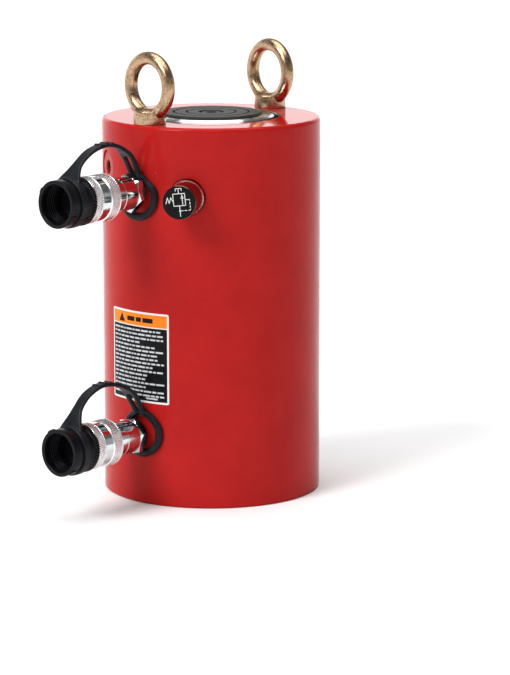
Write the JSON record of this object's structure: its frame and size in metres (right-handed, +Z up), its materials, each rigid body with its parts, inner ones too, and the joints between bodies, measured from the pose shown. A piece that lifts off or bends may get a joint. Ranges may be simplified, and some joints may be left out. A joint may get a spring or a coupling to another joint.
{
  "type": "double-acting hydraulic cylinder",
  "caption": "Tall red double-acting hydraulic lifting cylinder with chromed rod, grooved saddle, lifting eyebolts, capped quick couplers and a relief valve.",
  "frame": {"origin": "centre of the barrel's base, on the face it stands on", "axes": "+Z up along the rod's travel; the couplers point along -Y; +X is to their right seen from the front"},
  "size_m": [0.165, 0.2508, 0.3385],
  "materials": {
    "red_paint": "gloss red enamel with a slight orange peel",
    "machined_steel": "fine-turned steel",
    "black_steel": "black oxide over turned steel",
    "chrome_rod": "hard chrome, ground and polished",
    "seal_rubber": "matte black nitrile",
    "seal_plastic": "blue polyurethane",
    "bearing_plastic": "cream filled polymer",
    "yellow_zinc": "yellow-passivated zinc with a faint iridescence",
    "nickel": "bright nickel plate",
    "plated_valve": "bright plated steel",
    "black_disc": "black face with a white relief-valve symbol",
    "spring_steel": "drawn spring wire",
    "black_plastic": "moulded black nylon",
    "strap_rubber": "satin black moulded rubber",
    "warning_print": "printed film: orange header, black panel, plain lines",
    "front_print": "printed film: black with a plain cylinder symbol"
  },
  "bodies": {
    "cylinder": {"cylinder_body": "red_paint", "passage_plug": "red_paint", "base_plug": "machined_steel", "base_lock_screw": "black_steel", "base_o_ring": "seal_rubber", "base_backup_ring": "seal_plastic", "rod_bearing": "bearing_plastic", "rod_seal": "seal_plastic", "rod_backup_ring": "bearing_plastic", "rod_wiper": "seal_rubber", "relief_valve_body": "plated_valve", "relief_face_disc": "black_disc", "relief_seat": "machined_steel", "relief_spring": "spring_steel", "relief_adjuster": "black_steel", "relief_o_ring": "seal_rubber", "warning_label": "warning_print", "front_label": "front_print", "upper_coupler_adapter": "nickel", "upper_coupler_body": "nickel", "upper_collar_snap_ring": "spring_steel", "upper_coupler_spring": "spring_steel", "upper_coupler_seal": "seal_rubber", "upper_cap_strap": "strap_rubber", "lower_coupler_adapter": "nickel", "lower_coupler_body": "nickel", "lower_collar_snap_ring": "spring_steel", "lower_coupler_spring": "spring_steel", "lower_coupler_seal": "seal_rubber", "lower_cap_strap": "strap_rubber"},
    "rod_group": {"rod": "chrome_rod", "piston": "machined_steel", "piston_lock_screw": "black_steel", "piston_o_ring": "seal_rubber", "piston_seal": "seal_plastic", "piston_wear_rings": "bearing_plastic", "saddle": "black_steel", "saddle_screw": "black_steel"},
    "front_eyebolt_body": {"front_eyebolt": "yellow_zinc"},
    "rear_eyebolt_body": {"rear_eyebolt": "yellow_zinc"},
    "relief_plunger": {"relief_poppet": "machined_steel"},
    "upper_collar": {"upper_coupler_collar": "nickel"},
    "upper_cap": {"upper_dust_cap": "black_plastic"},
    "upper_poppet": {"upper_coupler_poppet": "machined_steel"},
    "lower_collar": {"lower_coupler_collar": "nickel"},
    "lower_cap": {"lower_dust_cap": "black_plastic"},
    "lower_poppet": {"lower_coupler_poppet": "machined_steel"}
  },
  "joints": [
    {"name": "rod_slide", "type": "slide", "parent": "cylinder", "child": "rod_group", "axis": [0, 0, 1], "range_m": [0, 0.15]},
    {"name": "front_eyebolt_unscrew", "type": "slide", "parent": "cylinder", "child": "front_eyebolt_body", "axis": [0, 0, 1], "range_m": [0, 0.026]},
    {"name": "rear_eyebolt_unscrew", "type": "slide", "parent": "cylinder", "child": "rear_eyebolt_body", "axis": [0, 0, 1], "range_m": [0, 0.026]},
    {"name": "upper_collar_spin", "type": "hinge", "parent": "cylinder", "child": "upper_collar", "pos_m": [0, -0.13, 0.2357], "axis": [0, -1, 0], "continuous": true},
    {"name": "upper_cap_pull", "type": "slide", "parent": "cylinder", "child": "upper_cap", "axis": [0, -1, 0], "range_m": [0, 0.02], "deforming": ["upper_cap_strap"]},
    {"name": "upper_poppet_open", "type": "slide", "parent": "cylinder", "child": "upper_poppet", "axis": [0, 1, 0], "range_m": [0, 0.003], "stiffness_N_per_m": 2000, "springref_m": -0.004, "deforming": ["upper_coupler_spring"]},
    {"name": "lower_collar_spin", "type": "hinge", "parent": "cylinder", "child": "lower_collar", "pos_m": [0, -0.13, 0.0527], "axis": [0, -1, 0], "continuous": true},
    {"name": "lower_cap_pull", "type": "slide", "parent": "cylinder", "child": "lower_cap", "axis": [0, -1, 0], "range_m": [0, 0.02], "deforming": ["lower_cap_strap"]},
    {"name": "lower_poppet_open", "type": "slide", "parent": "cylinder", "child": "lower_poppet", "axis": [0, 1, 0], "range_m": [0, 0.003], "stiffness_N_per_m": 2000, "springref_m": -0.004, "deforming": ["lower_coupler_spring"]},
    {"name": "relief_poppet_lift", "type": "slide", "parent": "cylinder", "child": "relief_plunger", "axis": [0.4909, -0.8712, 0], "range_m": [0, 0.0015], "stiffness_N_per_m": 8000, "springref_m": -0.003, "deforming": ["relief_spring"]}
  ]
}
